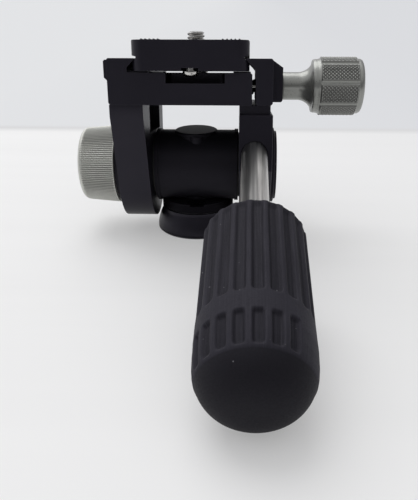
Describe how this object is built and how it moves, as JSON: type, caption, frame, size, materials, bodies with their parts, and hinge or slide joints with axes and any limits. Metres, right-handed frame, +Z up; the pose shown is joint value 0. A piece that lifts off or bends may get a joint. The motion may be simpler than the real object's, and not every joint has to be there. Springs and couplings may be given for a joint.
{
  "type": "two-way panning head",
  "caption": "Pan and tilt head with a forked yoke on a drum, screw-knob dovetail clamp, quick-release plate and a rubber-gripped steering handle.",
  "frame": {"origin": "centre of the tripod thread's mouth, in the base's underside", "axes": "+Z up along the pan axis, +X along the tilt axle towards the clamp knob, -Y towards the steering handle"},
  "size_m": [0.1045, 0.154, 0.0747],
  "materials": {
    "black_anodised": "satin black anodised",
    "grey_alloy": "knurled, satin grey anodised",
    "steel": "plain steel",
    "polished_steel": "polished",
    "black_steel": "blackened",
    "brass": "plain",
    "nylon": "white, waxy",
    "black_plastic": "satin moulded",
    "rubber": "soft moulded"
  },
  "bodies": {
    "base": {"base_disc": "black_anodised", "pan_spindle": "steel", "spindle_lock_screw": "black_steel", "pan_friction_washer": "nylon"},
    "drum": {"drum_housing": "black_anodised", "pan_bush": "brass", "pan_drag_pad": "brass", "pan_drag_screw": "black_steel", "drum_cap": "black_anodised", "tilt_bushes": "brass"},
    "yoke": {"clamp_body": "black_anodised", "left_arm": "black_anodised", "right_arm": "black_anodised", "arm_screws": "black_steel", "tilt_axle": "steel", "tilt_friction_washers": "nylon", "end_cap": "black_anodised", "end_cap_screw": "steel", "knob_seat_ring": "black_plastic", "spring_washers": "steel", "thrust_washer": "brass", "guide_pins": "steel", "jaw_springs": "steel", "handle_rod": "polished_steel", "grip_core": "black_plastic", "grip_sleeve": "rubber"},
    "tilt_knob": {"tilt_lock_knob": "grey_alloy", "tilt_knob_insert": "brass", "tilt_knob_cap": "black_plastic"},
    "jaw": {"clamp_jaw": "black_anodised"},
    "clamp_knob_body": {"clamp_knob": "grey_alloy", "clamp_knob_cap": "grey_alloy", "clamp_screw": "steel", "clamp_screw_stop": "steel", "knob_washer": "brass"},
    "plate": {"quick_release_plate": "black_anodised", "plate_pads": "rubber", "stop_screws": "steel"},
    "screw": {"camera_screw": "steel", "screw_washer": "nylon"}
  },
  "joints": [
    {"name": "pan", "type": "hinge", "parent": "base", "child": "drum", "pos_m": [0, 0, 0.0094], "axis": [0, 0, 1], "continuous": true},
    {"name": "tilt", "type": "hinge", "parent": "drum", "child": "yoke", "pos_m": [0.0006, 0, 0.0253], "axis": [1, 0, 0], "range_deg": [-67.3, 92.7]},
    {"name": "tilt_lock", "type": "hinge", "parent": "yoke", "child": "tilt_knob", "pos_m": [-0.0366, 0, 0.0253], "axis": [1, 0, 0], "range_deg": [-30, 120]},
    {"name": "jaw_slide", "type": "slide", "parent": "yoke", "child": "jaw", "axis": [1, 0, 0], "range_m": [0, 0.003]},
    {"name": "clamp_knob_turn", "type": "hinge", "parent": "jaw", "child": "clamp_knob_body", "pos_m": [0.0376, -0.00008, 0.05533], "axis": [1, 0, 0], "range_deg": [0, 1350]},
    {"name": "plate_slide", "type": "slide", "parent": "yoke", "child": "plate", "axis": [0, 0.991, -0.134], "range_m": [-0.0052, 0.0038]},
    {"name": "camera_screw_turn", "type": "hinge", "parent": "plate", "child": "screw", "pos_m": [0.0006, 0.00207, 0.06599], "axis": [0, 0.134, 0.991], "continuous": true}
  ],
  "couplings": [
    {"joint": "clamp_knob_turn", "follows": "jaw_slide", "rad_per_m": 7854}
  ]
}
